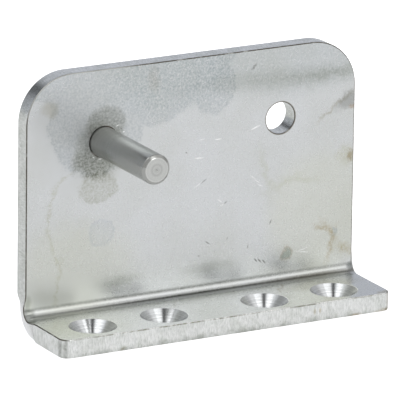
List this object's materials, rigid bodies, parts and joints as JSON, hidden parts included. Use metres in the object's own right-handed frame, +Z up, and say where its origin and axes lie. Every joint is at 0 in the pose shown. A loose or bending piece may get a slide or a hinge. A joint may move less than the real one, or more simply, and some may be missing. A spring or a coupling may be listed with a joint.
{
  "type": "lower door hinge bracket",
  "caption": "Folded stainless plate bracket with countersunk screw holes along its flange and a round hinge pin welded into the plate; the spare hole takes the pin on a door of the other hand.",
  "frame": {"origin": "middle of the row of screw holes, on the flange's underside", "axes": "+Z up the plate, -Y the way the hinge pin points, +X along the fold, away from the pin"},
  "size_m": [0.098, 0.0349, 0.0692],
  "materials": {
    "plate": "mill-finish stainless plate, laser-cut edges, stained and lightly scratched",
    "pin": "turned stainless bar",
    "weld": "weld bead as laid, heat-tinted"
  },
  "bodies": {
    "root": {"bracket_plate": "plate", "hinge_pin": "pin", "pin_weld": "weld"}
  },
  "joints": []
}
